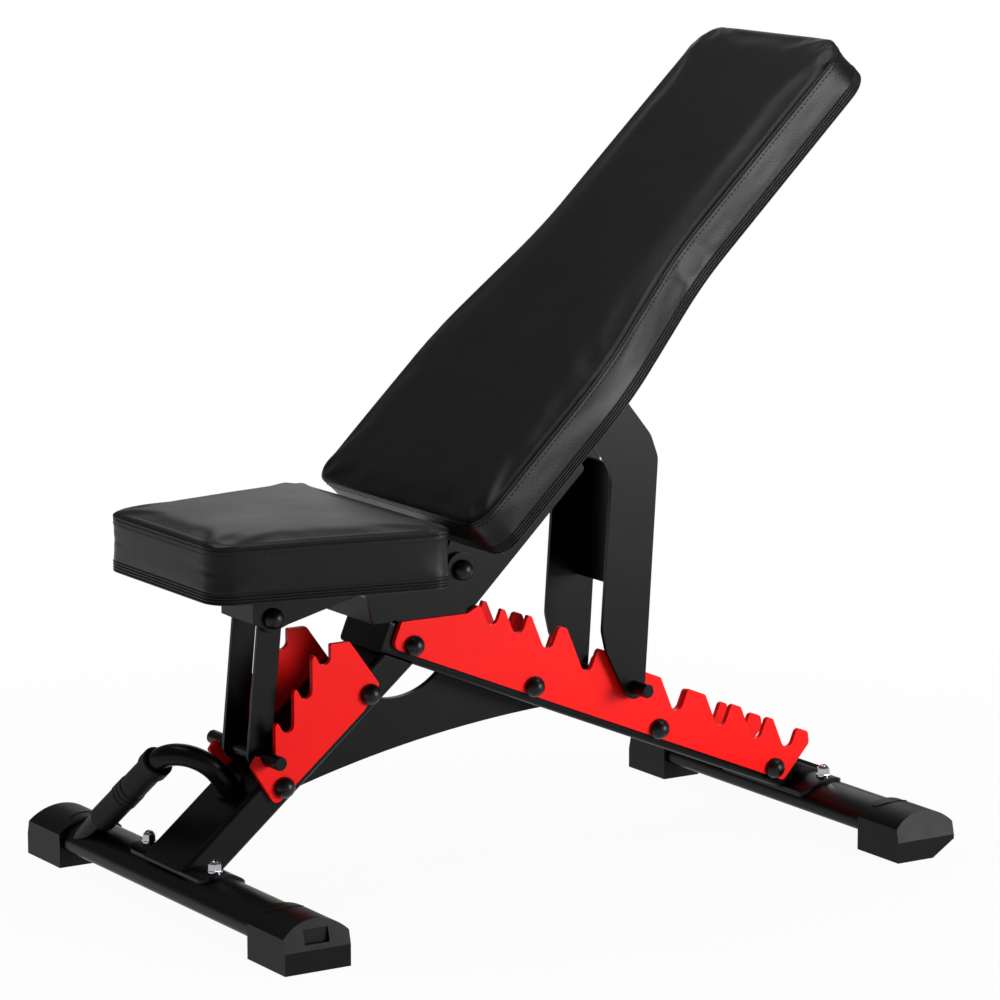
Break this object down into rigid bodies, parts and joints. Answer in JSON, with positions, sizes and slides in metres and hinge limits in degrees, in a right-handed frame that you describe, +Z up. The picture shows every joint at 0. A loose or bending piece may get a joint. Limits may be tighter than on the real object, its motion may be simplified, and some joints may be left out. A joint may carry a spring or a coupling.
{
  "type": "adjustable weight bench",
  "caption": "Adjustable weight bench: padded tilting seat and reclining back on a black steel frame, set by cross pins in red notched ladders.",
  "frame": {"origin": "on the floor, at the middle of the length and width of the bench", "axes": "+X from the front crossbar (seat end) towards the rear crossbar, +Y to the right hand of a person who sits facing the front, +Z up"},
  "size_m": [0.9, 0.6, 0.9307],
  "materials": {
    "black_steel": "satin black powder coat on steel",
    "red_steel": "bright red powder coat on steel plate",
    "leather": "matte black coated upholstery leather over foam",
    "board": "black-backed plywood",
    "black_plastic": "moulded black plastic",
    "gloss_cap": "glossy black domed cap",
    "chrome": "bright plated nuts and washers",
    "zinc_steel": "zinc-plated steel fastener",
    "rubber": "ringed rubber grip"
  },
  "bodies": {
    "base": {"front_crossbar": "black_steel", "rear_crossbar": "black_steel", "front_foot_cap_left": "black_plastic", "front_foot_cap_right": "black_plastic", "rear_foot_cap_left": "black_plastic", "rear_foot_cap_right": "black_plastic", "front_saddle_plate": "black_steel", "rear_saddle_plate": "black_steel", "crossbar_bolts": "zinc_steel", "crossbar_washers": "chrome", "crossbar_acorn_nuts": "chrome", "front_leg": "black_steel", "spine_tube": "black_steel", "spine_end_plug": "black_plastic", "brace_plate": "black_steel", "seat_ladder_left": "red_steel", "seat_ladder_right": "red_steel", "back_ladder_left": "red_steel", "back_ladder_right": "red_steel", "seat_ladder_bolts": "zinc_steel", "seat_ladder_domes": "gloss_cap", "back_ladder_bolts": "zinc_steel", "back_ladder_domes": "gloss_cap", "pivot_bracket": "black_steel", "pivot_pedestal": "black_steel", "back_axle": "zinc_steel", "back_axle_domes": "gloss_cap", "seat_axle": "zinc_steel", "seat_axle_spacers": "black_plastic", "handle_tube": "black_steel", "handle_grip": "rubber", "handle_collar": "black_steel"},
    "seat": {"seat_cushion": "leather", "seat_board": "board", "seat_channel": "black_steel", "seat_screws": "zinc_steel", "seat_strut_axle": "zinc_steel", "seat_strut_domes": "gloss_cap"},
    "seat_strut": {"seat_strut_left": "black_steel", "seat_strut_right": "black_steel", "seat_strut_pin": "black_steel", "seat_strut_spacer": "black_steel"},
    "back": {"back_cushion": "leather", "back_board": "board", "back_mount_sheet": "black_steel", "back_screws": "zinc_steel", "back_rail_left": "black_steel", "back_rail_right": "black_steel", "strut_lug_left": "black_steel", "strut_lug_right": "black_steel"},
    "back_strut": {"back_strut_left": "black_steel", "back_strut_right": "black_steel", "back_strut_web": "black_steel", "back_strut_shaft": "black_steel", "back_strut_pin": "black_steel"}
  },
  "joints": [
    {"name": "seat_hinge", "type": "hinge", "parent": "base", "child": "seat", "pos_m": [-0.194, 0, 0.349], "axis": [0, 1, 0], "range_deg": [0, 33]},
    {"name": "seat_strut_hinge", "type": "hinge", "parent": "seat", "child": "seat_strut", "pos_m": [-0.312, 0, 0.321], "axis": [0, 1, 0], "range_deg": [-30, 0]},
    {"name": "back_hinge", "type": "hinge", "parent": "base", "child": "back", "pos_m": [-0.077, 0, 0.353], "axis": [0, -1, 0], "range_deg": [0, 11.5]},
    {"name": "back_strut_hinge", "type": "hinge", "parent": "back", "child": "back_strut", "pos_m": [0.1162, 0, 0.50203], "axis": [0, -1, 0], "range_deg": [-8, 0]}
  ],
  "couplings": [
    {"joint": "seat_strut_hinge", "follows": "seat_hinge", "ratio": -0.9},
    {"joint": "back_strut_hinge", "follows": "back_hinge", "ratio": -0.65}
  ]
}
